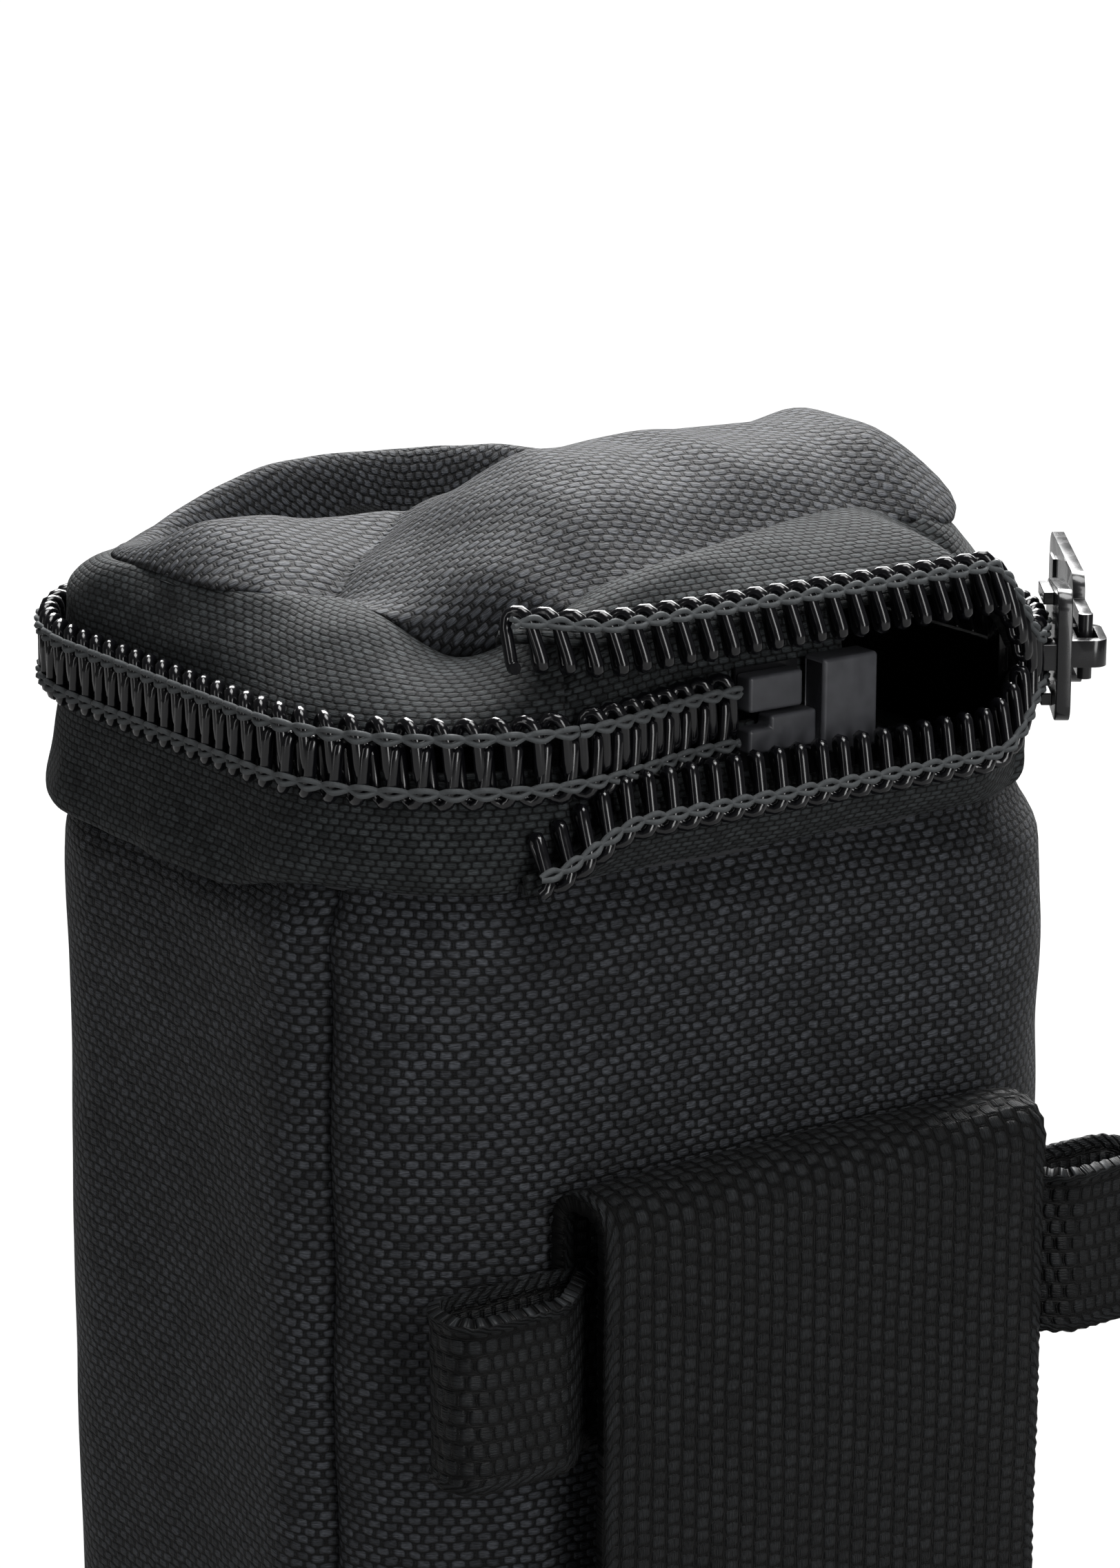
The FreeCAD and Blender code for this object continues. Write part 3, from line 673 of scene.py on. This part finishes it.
def tapeStrip(name, stations, edgeOf, half, rows, body, replaced, seed):
    grid = [[] for _ in range(rows + 1)]
    for station in stations:
        origin, across, out = half(station)
        start = origin + across * tape["underCoil"]
        shoulder = origin + across * tape["shoulder"]
        end, pull = edgeOf(station)
        for j in range(rows + 1):
            t = j / rows
            point = bezier(start, shoulder, end + pull, end, t)
            fold = tape["wrinkleDepth"] * wrinkle(point, tape["wrinkleSize"], seed) * smooth((t - 0.25) * 3)
            broad = tape["broadFold"] * (1.6 if station["part"] == "ring" else 0.8)
            broad *= wrinkle(point, tape["broadSize"], seed + 4)
            fold += broad * math.sin(math.pi * t) * smooth(t * 2)
            grid[j].append(point + out * fold)
    piece = thicken(sheetObject(name, grid, flip=half is lowerHalf), tape["thick"])
    return finish(piece, zipTwill, body, replaced)


def lowerEdge(station):
    inset = tape["seamInset"]
    seam, out = onLoop(station["place"], bodyHalfX - inset, bodyHalfY - inset, wall["radius"] - inset)
    if station["part"] == "start":
        eased = smooth((station["place"].x - tape["easeFrom"]) / (14 * mm))
        seam -= out * tape["startInset"] * eased
    bulge = tape["bulge"] * (0.55 if station["part"] == "open" else 1.0)
    seam.z = wallTop - 0.3 * mm
    sagging = 0.0
    if station["part"] == "ring":
        sagging = smooth((station["place"].y - tape["sagFrom"]) / tape["sagFade"])
    pull = out * (bulge + tape["sideBulge"] * sagging)
    pull.z += 1.2 * mm - tape["sag"] * sagging
    return seam, pull


tapeStrip("lowerZipTape", path, lowerEdge, lowerHalf, tape["rows"], "pouch_body", ["lower_zip_tape"], 1.0)

# where the lid's cloth meets the upper tape, in mm, from the front left all the way round
creaseLoop = [(-20, -27, 131.5), (-14.8, -30.2, 135.5), (-6, -29.8, 137), (4, -27.5, 137.6),
              (14.3, -24.3, 137.8), (20.7, -23, 137.4), (28.0, -23, 135.6), (34.5, -16, 134),
              (37.4, -4, 133), (37.6, 12, 132), (34, 24, 131.6), (25, 31, 132.4), (10, 33.2, 134.6),
              (-3, 33.4, 135.6), (-15, 32.8, 134),
              (-28, 28, 131), (-36, 19, 132.2), (-38, 8, 133), (-37.6, -1, 133), (-34.5, -6, 133),
              (-30.4, -11.4, 133), (-29.2, -17.2, 132.4), (-25, -22.5, 129)]


def catmull(points, i, t):
    a, b, c, d = (Vector(points[(i + k) % len(points)]) for k in (-1, 0, 1, 2))
    square, cube = 2 * a - 5 * b + 4 * c - d, 3 * b - a - 3 * c + d
    return 0.5 * (2 * b + (c - a) * t + square * t * t + cube * t ** 3)


def planAngle(point):
    return math.atan2(point[1] / ringHalfY, point[0] / ringHalfX)


creaseFine = []
for i in range(len(creaseLoop)):
    creaseFine += [catmull(creaseLoop, i, k / 16) * mm for k in range(16)]
creaseFine.sort(key=planAngle)
creaseAngles = [planAngle(point) for point in creaseFine]


def creaseAt(angle):
    angle = (angle + math.pi) % (2 * math.pi) - math.pi
    i = bisect.bisect_right(creaseAngles, angle) % len(creaseFine)
    before, after = creaseAngles[i - 1], creaseAngles[i]
    span = (after - before) % (2 * math.pi)
    share = ((angle - before) % (2 * math.pi)) / max(span, 1e-6)
    return creaseFine[i - 1].lerp(creaseFine[i], share)


def upperEdge(station):
    end = creaseAt(planAngle(station["place"])) - Vector((0, 0, tape["underLid"]))
    width = (Vector((end.x, end.y, 0)) - station["place"]).length
    bulge = tape["lidBulge"] + tape["lidBulgeShare"] * width
    pull = station["out"] * bulge + Vector((0, 0, tape["lidLift"]))
    if station["part"] == "open":
        pull = station["out"] * tape["openBulge"] + Vector((0, 0, tape["openLift"]))
    return end - station["out"] * tape["lidInset"], pull


def startEdge(station):
    hidden = station["place"] - station["out"] * tape["hiddenInset"] + Vector((0, 0, tape["hiddenZ"]))
    shown, pull = upperEdge(station)
    ease = smooth((station["place"].x - tape["easeFrom"]) / (13 * mm))
    shown -= Vector((0, 0, tape["startDrop"]))
    return shown.lerp(hidden, ease), pull.lerp(station["out"] * 0.5 * mm, ease)


startStations = path[startFrom:]
tapeStrip("upperZipTape", openAndRing, upperEdge, upperHalf, tape["upperRows"], "lid",
          ["upper_zip_tape"], 11.0)
# the start of the upper tape is sewn to both; here it is only fixed in place and attached to neither body
foldOver = ("pouch_body", "lid", (0, -34 * mm, 126.5 * mm), (0, -29 * mm, 133 * mm))
tapeStrip("startTapeFold", startStations, startEdge, upperHalf, tape["upperRows"], foldOver,
          ["start_tape_upper"], 17.0)
print("zip tapes made")

# the soft lid: a roll along the belt side, a lobe at the left and a hollow behind
# its mounds and hollows are in mm, as lidHeight works in mm
lid = {
    "columns": 260, "rows": 84, "padThick": 4.2 * mm, "edgeShare": 0.15, "overhang": 1.2 * mm,
    "roll": {"y": -8.0, "height": 9.3, "width": 11.5, "frontWidth": 17.5}, "level": 133.2,
    "hollow": {"x": -3.0, "y": 20.0, "depth": 13.0, "spreadX": 25.0, "spreadY": 10.6},
    "rim": {"x": -3.0, "y": 31.5, "height": 4.2, "spreadX": 20.0, "spreadY": 4.0},
    "lobe": {"x": -30.0, "y": 4.0, "height": 2.6, "spreadX": 9.0, "spreadY": 11.0},
    "crease": {"from": (-31.0, -10.0), "to": (-10.0, 7.0), "depth": 3.4, "width": 3.4},
    "saddle": {"x": -15.0, "y": 7.0, "height": 2.0, "spreadX": 15.0, "spreadY": 6.0},
    "crumple": 1.1, "crumpleSize": 15.0, "fineCrumple": 0.45, "fineSize": 6.0,
    "frontFrom": (-22.0 * mm, -12.0 * mm), "frontFade": (12.0 * mm, 8.0 * mm), "frontPush": 2.6,
    "edgeDrop": 0.6 * mm, "frontDrop": 2.2 * mm, "rowGather": 0.85, "underZ": 130.5 * mm,
    "underDish": 1.5 * mm, "underFollow": 0.12, "underScale": 0.985, "edgeFade": 0.1, "underFade": 0.12,
}


def nearLine(x, y, start, end):
    ax, ay = start
    bx, by = end
    t = ((x - ax) * (bx - ax) + (y - ay) * (by - ay)) / ((bx - ax) ** 2 + (by - ay) ** 2)
    t = min(1.0, max(0.0, t))
    return math.hypot(x - mix(ax, bx, t), y - mix(ay, by, t)), t


def mound(x, y, shape):
    across = bump(x - shape["x"], shape["spreadX"])
    return shape["height"] * across * bump(y - shape["y"], shape["spreadY"])


def lidHeight(x, y):
    roll, hollow, crease = lid["roll"], lid["hollow"], lid["crease"]
    alongRoll = smooth((x + 31) / 26) * (1 - 0.75 * smooth((x - 25) / 19))
    ahead = y - roll["y"] - 0.06 * x
    rollShape = math.exp(-(ahead / roll["frontWidth"]) ** 4) if ahead < 0 else bump(ahead, roll["width"])
    z = lid["level"] + roll["height"] * alongRoll * rollShape
    z += mound(x, y, lid["lobe"])
    z += mound(x, y, lid["saddle"])
    dish = ((x - hollow["x"]) / hollow["spreadX"]) ** 2 + ((y - hollow["y"]) / hollow["spreadY"]) ** 2
    z -= hollow["depth"] * math.exp(-dish ** 2.6)
    z += mound(x, y, lid["rim"])
    gap, t = nearLine(x, y, crease["from"], crease["to"])
    z -= crease["depth"] * math.exp(-gap / crease["width"]) * (1 - 0.5 * t)
    z += lid["crumple"] * wrinkle((x, y, 0), lid["crumpleSize"], 1.3)
    z += lid["fineCrumple"] * wrinkle((x, y, 0), lid["fineSize"], 8.1)
    return z


def lidRows():
    top, under = [], []
    edgeShare = lid["edgeShare"]
    (fromX, fromY), (fadeX, fadeY) = lid["frontFrom"], lid["frontFade"]
    for j in range(lid["rows"]):
        t = (j / lid["rows"]) ** lid["rowGather"]
        rise = math.sin(min(1.0, t / edgeShare) * math.pi / 2)
        topRow, underRow = [], []
        for i in range(lid["columns"]):
            angle = 2 * math.pi * i / lid["columns"]
            edge = creaseAt(angle)
            inner = Vector((edge.x, edge.y, 0)) * (1 - t)
            outwards = Vector((edge.x, edge.y, 0)).normalized()
            push = lid["overhang"] * math.sin(math.pi * min(1.0, t / edgeShare))
            front = smooth((fromY - edge.y) / fadeY) * smooth((edge.x - fromX) / fadeX)
            plan = inner + outwards * push * (1 + lid["frontPush"] * front)
            field = lidHeight(plan.x / mm, plan.y / mm) * mm
            z = mix(edge.z - lid["edgeDrop"] - lid["frontDrop"] * front, field, rise)
            topRow.append(Vector((plan.x, plan.y, z)))
            lowered = z - lid["padThick"] * smooth(t / lid["edgeFade"])
            flat = lid["underZ"] - lid["underDish"] * smooth(t * 2)
            ceiling = min(lowered, flat + lid["underFollow"] * (z - 130 * mm))
            underRow.append(inner * lid["underScale"])
            underRow[-1].z = mix(lowered, ceiling, smooth(t / lid["underFade"]))
        top.append(topRow)
        under.append(underRow)
    return top, under


def makeLid():
    top, under = lidRows()
    count = lid["columns"]
    rows = top + under[::-1]
    points = [point for row in rows for point in row]
    topPole = Vector((0, 0, lidHeight(0, 0) * mm))
    points += [topPole, Vector((0, 0, sum(p.z for p in under[-1]) / count))]
    reach = []
    for i in range(count):
        lengths = [(top[-1][i] - topPole).length]
        for j in range(len(top) - 2, -1, -1):
            lengths.append(lengths[-1] + (top[j][i] - top[j + 1][i]).length)
        reach.append(lengths[::-1])
    faces, uvs, lined = [], [], []

    def uvAt(row, i):
        step = i % count
        angle = 2 * math.pi * i / count
        length = reach[step][row] if row < len(top) else reach[step][2 * len(top) - 1 - row]
        plan = Vector((top[0][step].x, top[0][step].y)).normalized()
        turned = Vector((plan.x * 0.97 - plan.y * 0.24, plan.x * 0.24 + plan.y * 0.97))
        return tuple(turned * length / mm)

    for j in range(len(rows) - 1):
        if j == len(top) - 1:
            continue
        for i in range(count):
            k = (i + 1) % count
            faces.append([j * count + i, j * count + k, (j + 1) * count + k, (j + 1) * count + i])
            uvs += [uvAt(j, i), uvAt(j, i + 1), uvAt(j + 1, i + 1), uvAt(j + 1, i)]
            lined.append(j >= len(top))
    base = len(rows) * count
    lastTop, firstUnder = (len(top) - 1) * count, len(top) * count
    for i in range(count):
        k = (i + 1) % count
        faces.append([lastTop + i, lastTop + k, base])
        uvs += [uvAt(len(top) - 1, i), uvAt(len(top) - 1, i + 1), (0.0, 0.0)]
        lined.append(False)
        faces.append([firstUnder + k, firstUnder + i, base + 1])
        uvs += [uvAt(len(top) - 1, i + 1), uvAt(len(top) - 1, i), (0.0, 0.0)]
        lined.append(True)
        last = (len(rows) - 1) * count
        faces.append([last + i, last + k, k, i])
        uvs += [uvAt(0, i), uvAt(0, i + 1), uvAt(0, i + 1), uvAt(0, i)]
        lined.append(False)
    piece = meshObject("lidPadded", points, faces, uvs)
    finish(piece, packCloth, "lid",
           ["lid_top_panel", "lid_foam", "lid_lining", "lid_seam_binding"])
    piece.data.materials.append(liningCloth)
    for polygon, isLined in zip(piece.data.polygons, lined):
        polygon.material_index = int(isLined)
    return piece


makeLid()
print("lid made")

# webbing: the belt loop and the two strap loops
belt = {
    "half": 25.0 * mm, "thick": 1.6 * mm, "low": 10.0 * mm, "tackTop": 18.0 * mm, "top": 84.0 * mm,
    "standoff": 9.5 * mm, "innerLow": 58.0 * mm, "scallop": 0.12 * mm, "pick": 1.35 * mm, "ribs": 5,
    "ribDepth": 0.3 * mm,
}
strap = {"low": 60.0 * mm, "high": 76.0 * mm, "thick": 1.3 * mm, "tipX": 41.5 * mm, "rootX": 27.0 * mm,
         "depth": 7.4 * mm, "bend": 2.9 * mm, "tackInset": 1.5 * mm}
webbing = {"step": 0.6 * mm, "columnStep": 0.8 * mm, "bevel": 0.35 * mm, "slack": 0.3 * mm,
           "slackSize": 13.0 * mm, "tackInset": 2.0 * mm, "barTackInset": 3.5 * mm}


def rounded(points, radius):
    spots = [Vector(p) for p in points]
    line = [spots[0]]
    for before, corner, after in zip(spots, spots[1:], spots[2:]):
        back = (before - corner).normalized()
        on = (after - corner).normalized()
        half = math.acos(max(-1.0, min(1.0, back.dot(on)))) / 2
        cut = min(radius / math.tan(half), (before - corner).length * 0.49, (after - corner).length * 0.49)
        for k in range(9):
            t = k / 8
            entry, leave = corner + back * cut, corner + on * cut
            line.append(entry * (1 - t) ** 2 + corner * 2 * t * (1 - t) + leave * t * t)
    line.append(spots[-1])
    fine = []
    for a, b in zip(line, line[1:]):
        steps = max(1, round((b - a).length / webbing["step"]))
        fine += [a.lerp(b, k / steps) for k in range(steps)]
    return fine + [line[-1]]


def ribbon(name, spine, spread, halfWidth, thick, relief, body, replaced, side=1):
    rows = []
    travelled = 0.0
    widthSteps = max(8, round(2 * halfWidth / webbing["columnStep"]))
    for i, spot in enumerate(spine):
        if i:
            travelled += (spot - spine[i - 1]).length
        ahead = spine[min(i + 1, len(spine) - 1)] - spine[max(i - 1, 0)]
        out = ahead.cross(spread).normalized() * side
        row = []
        for k in range(widthSteps + 1):
            across = -1 + 2 * k / widthSteps
            edge = abs(across) ** 14
            wave = math.sin(2 * math.pi * travelled / belt["pick"])
            place = spot + spread * across * (halfWidth + belt["scallop"] * wave * edge)
            place += out * (relief(travelled, across) - 0.3 * thick * edge)
            row.append(place + out * webbing["slack"] * wrinkle(place, webbing["slackSize"], 9.0))
        rows.append(row)
    piece = sheetObject(name, rows, uvTurn=True, flip=side > 0)
    piece = thicken(piece, thick, 0.0)
    rounding = piece.modifiers.new("edges", "BEVEL")
    rounding.width = webbing["bevel"]
    rounding.segments = 2
    rounding.limit_method = "ANGLE"
    return finish(applied(piece), webbingRib, body, replaced)


def beltRelief(travelled, across):
    fromFold = abs(travelled - beltFoldAt)
    ribs = max(0.0, 1 - fromFold / (belt["ribs"] * belt["pick"]))
    return belt["ribDepth"] * ribs * (0.5 + 0.5 * math.cos(2 * math.pi * travelled / belt["pick"]))


frontY = -bodyHalfY
tackedY = frontY - belt["thick"] * 0.8
outerY = frontY - belt["standoff"] + belt["thick"] / 2
liftZ = belt["tackTop"] + 9 * mm
beltSpine = rounded([(0, tackedY, belt["low"]), (0, tackedY, belt["tackTop"]), (0, outerY, liftZ),
                     (0, outerY - 0.2 * mm, belt["top"] - 0.8 * mm), (0, tackedY, belt["top"] - 0.8 * mm),
                     (0, tackedY, belt["innerLow"])], 3.4 * mm)
beltFoldAt = 0.0
for a, b in zip(beltSpine, beltSpine[1:]):
    if b.z < a.z:
        break
    beltFoldAt += (b - a).length
ribbon("beltLoopWebbing", beltSpine, Vector((1, 0, 0)), belt["half"], belt["thick"], beltRelief, "pouch_body",
       ["belt_loop_webbing"], side=-1)


def strapLoop(name, side, replaced):
    back = frontY - belt["thick"] - strap["thick"] / 2
    outer = back - strap["depth"] + strap["thick"]
    midZ = (strap["low"] + strap["high"]) / 2
    root, tip = side * strap["rootX"], side * (strap["tipX"] - 1.6 * mm - strap["thick"] / 2)
    under = back - strap["thick"]
    spine = rounded([(0, back, midZ), (tip, back, midZ), (tip, outer, midZ),
                     (root + side * 2 * mm, outer, midZ), (root - side * 3 * mm, under, midZ),
                     (0, under, midZ)], strap["bend"])
    return ribbon(name, spine, Vector((0, 0, 1)), (strap["high"] - strap["low"]) / 2, strap["thick"],
                  lambda travelled, across: 0.0, "pouch_body", replaced, side=side)


strapLoop("strapLoopLeft", -1, ["strap_webbing"])
strapLoop("strapLoopRight", 1, ["strap_webbing"])

tackThread = {
    "Pitch": 0.9 * mm, "Points Per Turn": 8, "Phase": 0.0, "Across Middle": 0.0, "Across Reach": 0.9 * mm,
    "Out Middle": 0.25 * mm, "Out Reach": 0.12 * mm, "Out Turns": 2.0, "Out Phase": 0.0, "Squareness": 0.7,
    "Along Reach": 0.0, "Wire Radius": 0.25 * mm, "Wire Sides": 6,
}


def tackRow(name, start, end, across, out, **changes):
    start, end = Vector(start), Vector(end)
    steps = max(2, round((end - start).length / mm))
    frames = [(start.lerp(end, i / steps), Vector(across), Vector(out)) for i in range(steps + 1)]
    return wound(name, frames, tackThread, stitchThread, **changes)


beltTacks = []
for z in (belt["low"] + webbing["tackInset"], belt["tackTop"] - webbing["tackInset"]):
    reach = belt["half"] - webbing["tackInset"]
    beltTacks.append(tackRow("beltTack", (-reach, tackedY - 0.8 * mm, z), (reach, tackedY - 0.8 * mm, z),
                             (0, 0, 1), (0, -1, 0)))
joinAll(beltTacks)
beltTacks[0].name = "beltLoopStitching"
finish(beltTacks[0], stitchThread, "pouch_body", ["belt_loop_stitching"])
barTacks = []
for side in (-1, 1):
    x = side * (belt["half"] - webbing["barTackInset"])
    y = frontY - belt["thick"] - 2 * strap["thick"]
    low, high = strap["low"] + strap["tackInset"], strap["high"] - strap["tackInset"]
    barTacks.append(tackRow("barTack", (x, y, low), (x, y, high), (1, 0, 0), (0, -1, 0)))
joinAll(barTacks)
barTacks[0].name = "strapBarTacks"
finish(barTacks[0], stitchThread, "pouch_body", ["strap_bar_tacks"])
print("webbing made")

# hard fittings: the same shapes with their edges eased
fittings = {
    "retainer_pin": (mouldedGrey, "moulded", 0.35), "insertion_pin": (mouldedGrey, "moulded", 0.35),
    "retainer_box": (mouldedGrey, "moulded", 0.6), "slider_body": (blackEnamel, "slider_metal", 0.4),
    "slider_crown": (blackEnamel, "slider_metal", 0.5), "pull_tab": (blackEnamel, "slider_metal", 0.35),
}
for name, (material, slotName, easing) in fittings.items():
    node = frame["nodes"][name]
    shell = bmesh.new()
    shell.from_mesh(node.data)
    bmesh.ops.remove_doubles(shell, verts=shell.verts, dist=0.005 * mm)
    bmesh.ops.dissolve_limit(shell, angle_limit=math.radians(1.5), verts=shell.verts, edges=shell.edges)
    mesh = bpy.data.meshes.new(name + "Eased")
    shell.to_mesh(mesh)
    shell.free()
    piece = bpy.data.objects.new(name + "Eased", mesh)
    bpy.context.scene.collection.objects.link(piece)
    for polygon in mesh.polygons:
        polygon.use_smooth = True
    rounding = piece.modifiers.new("edges", "BEVEL")
    rounding.width = easing * mm
    rounding.segments = 3
    rounding.limit_method = "ANGLE"
    rounding.angle_limit = math.radians(38)
    rounding.harden_normals = True
    finish(applied(piece), material, node["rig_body"], [name])

# the rest keep their own shapes
cadFinishes = {"tape_end_film_lower": tapeFilm, "tape_end_film_upper": tapeFilm,
               "slider_lock_spring": springSteel}
for name, material in cadFinishes.items():
    node = frame["nodes"][name]
    if not node.material_slots:
        node.data.materials.append(material)
    for part in node.material_slots:
        part.material = material
print("fittings finished")

# floor, lights and camera
view = {
    "azimuth": -35.0, "elevation": 15.0, "target": (1.4 * mm, -1.0 * mm, 108.1 * mm), "distance": 450 * mm,
    "lens": 150.7, "sensor": 36.0,
}
studio = {
    "backdrop": 1.05, "ambient": 0.07, "floorRadius": 0.85, "floorTone": 0.06, "floorGlow": 0.85,
    "floorEdgeGlow": 0.2, "floorFade": 0.6, "floorBounce": 0.36, "floorSides": 64,
}
lights = {
    "topBack": {"place": (0.3, 0.38, 0.56), "size": (0.5, 0.5), "power": 11.5},
    "overhead": {"place": (0.06, -0.12, 0.72), "size": (0.35, 0.35), "power": 3.4},
    "leftSide": {"place": (-0.6, -0.1, 0.3), "size": (0.12, 0.6), "power": 0.5},
    "rightSide": {"place": (0.6, 0.3, 0.3), "size": (0.14, 0.6), "power": 1.2},
    "frontFill": {"place": (-0.12, -0.85, 0.33), "size": (0.3, 0.7), "power": 3.9},
}

floorMesh = bpy.data.meshes.new("floor")
floorAngles = [2 * math.pi * k / studio["floorSides"] for k in range(studio["floorSides"])]
floorReach = studio["floorRadius"]
floorEdge = [(math.cos(angle) * floorReach, math.sin(angle) * floorReach, 0) for angle in floorAngles]
floorMesh.from_pydata(floorEdge, [], [list(range(studio["floorSides"]))])
floor = bpy.data.objects.new("floor", floorMesh)
bpy.context.scene.collection.objects.link(floor)
floorFinish, floorShader = newMaterial("paleFloor", (studio["floorTone"],) * 3, 0.95,
                                       **{"Specular IOR Level": 0.1})
floorShader.inputs["Emission Color"].default_value = (1, 1, 1, 1)
floorMake, floorSum = nodeMaker(floorFinish.node_tree), sumMaker(floorFinish.node_tree)
floorPlace = floorMake("ShaderNodeTexCoord").outputs["Object"]
fromMiddle = floorMake("ShaderNodeVectorMath", {0: floorPlace}, operation="LENGTH").outputs["Value"]
fade = floorSum("MINIMUM", floorSum("DIVIDE", fromMiddle, studio["floorFade"]), 1.0)
glow = floorSum("MULTIPLY_ADD", fade, studio["floorEdgeGlow"], studio["floorGlow"])
# the floor is bright to look at, and throws less light back on the pouch
directView = floorMake("ShaderNodeLightPath").outputs["Is Camera Ray"]
bounce = floorSum("MAXIMUM", directView, studio["floorBounce"])
shine = floorSum("MULTIPLY", glow, bounce)
floorFinish.node_tree.links.new(shine, floorShader.inputs["Emission Strength"])
floorMesh.materials.append(floorFinish)

for name, light in lights.items():
    lamp = bpy.data.lights.new(name, "AREA")
    lamp.shape = "RECTANGLE"
    lamp.size, lamp.size_y = light["size"]
    lamp.energy = light["power"]
    holder = bpy.data.objects.new(name, lamp)
    bpy.context.scene.collection.objects.link(holder)
    holder.location = light["place"]
    aim = Vector(view["target"]) - holder.location
    holder.rotation_euler = aim.to_track_quat("-Z", "Y").to_euler()

world = bpy.data.worlds.new("studio")
bpy.context.scene.world = world
world.use_nodes = True
worldMake, worldSum = nodeMaker(world.node_tree), sumMaker(world.node_tree)
seen = worldMake("ShaderNodeLightPath").outputs["Is Camera Ray"]
backdrop = world.node_tree.nodes["Background"]
backdrop.inputs["Color"].default_value = (1, 1, 1, 1)
skyLevel = worldSum("MULTIPLY_ADD", seen, studio["backdrop"] - studio["ambient"], studio["ambient"])
world.node_tree.links.new(skyLevel, backdrop.inputs["Strength"])

cameraData = bpy.data.cameras.new("studioCamera")
cameraData.sensor_fit = "HORIZONTAL"
cameraData.sensor_width = view["sensor"]
cameraData.lens = view["lens"]
cameraData.clip_start = 0.01
camera = bpy.data.objects.new("studioCamera", cameraData)
bpy.context.scene.collection.objects.link(camera)
turn, tilt = math.radians(view["azimuth"]), math.radians(view["elevation"])
away = Vector((math.sin(turn) * math.cos(tilt), -math.cos(turn) * math.cos(tilt), math.sin(tilt)))
camera.location = Vector(view["target"]) + away * view["distance"]
camera.rotation_euler = (-away).to_track_quat("-Z", "Y").to_euler()
bpy.context.scene.camera = camera
bpy.context.scene.view_settings.view_transform = "Standard"
print("camera and lights placed")
